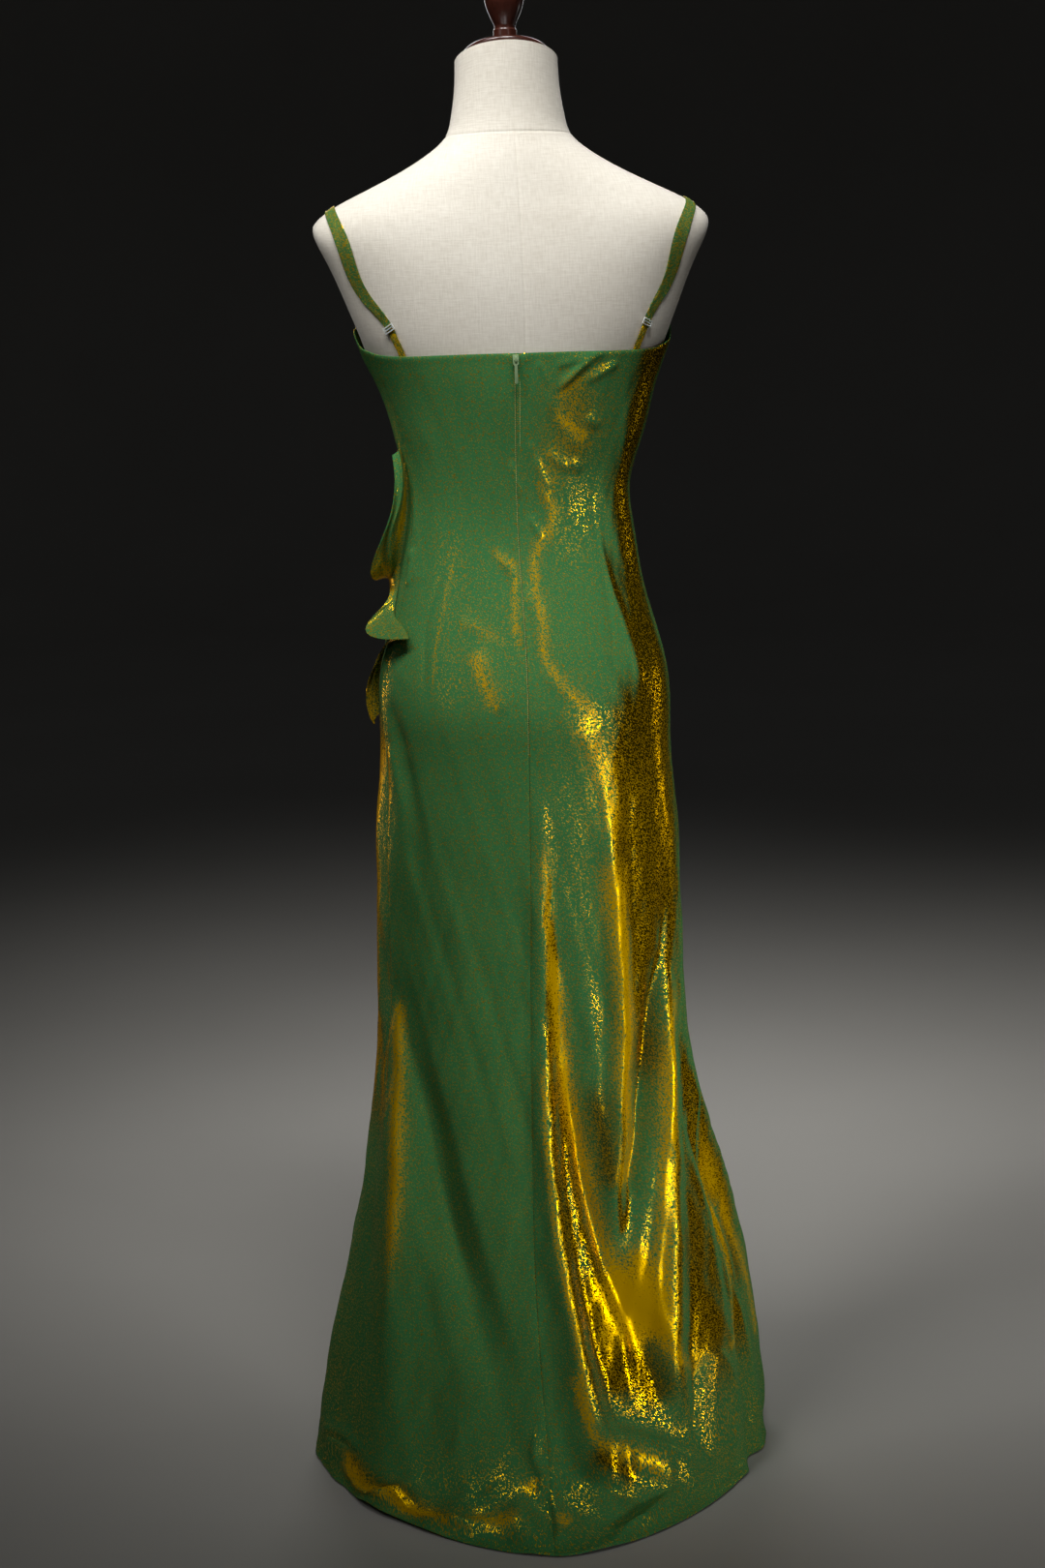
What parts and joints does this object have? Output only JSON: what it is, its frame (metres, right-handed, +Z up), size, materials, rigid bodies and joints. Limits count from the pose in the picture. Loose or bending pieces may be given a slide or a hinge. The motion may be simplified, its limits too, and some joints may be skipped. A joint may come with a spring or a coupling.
{
  "type": "evening gown on a dress form with a stand",
  "caption": "Long strappy gown in shot green and gold cloth with a side flounce, centre back zip and short train, worn by a limbless linen dress form on a pole and round base.",
  "frame": {"origin": "centre of the base plate's underside on the floor", "axes": "+Z up, the gown's front faces -Y, the wearer's left is +X"},
  "size_m": [0.5051, 0.5091, 1.5891],
  "materials": {
    "shot_fabric": "green and gold changeable weave with a metallic sheen",
    "strap_fabric": "narrow folded strap of the same weave",
    "zip_tape": "matt woven tape",
    "clear_plastic": "clear moulded slide",
    "zip_metal": "pale green lacquer",
    "linen": "off-white plain linen",
    "dark_wood": "dark varnished turned wood",
    "stand_metal": "dark satin coat"
  },
  "bodies": {
    "gown_and_form": {"front": "shot_fabric", "back_left": "shot_fabric", "back_right": "shot_fabric", "flounce": "shot_fabric", "strap_left": "strap_fabric", "strap_right": "strap_fabric", "strap_tab_left": "strap_fabric", "strap_tab_right": "strap_fabric", "adjuster_left": "clear_plastic", "adjuster_right": "clear_plastic", "zip_tape": "zip_tape", "zip_slider": "zip_metal", "form_torso": "linen", "neck_cap": "dark_wood", "finial": "dark_wood", "pole": "stand_metal", "base_plate": "stand_metal"},
    "pull": {"zip_pull": "zip_metal"}
  },
  "joints": [
    {"name": "pull_hinge", "type": "hinge", "parent": "gown_and_form", "child": "pull", "pos_m": [0.00432, 0.10016, 1.19075], "axis": [1, 0, 0], "range_deg": [0, 150]}
  ]
}
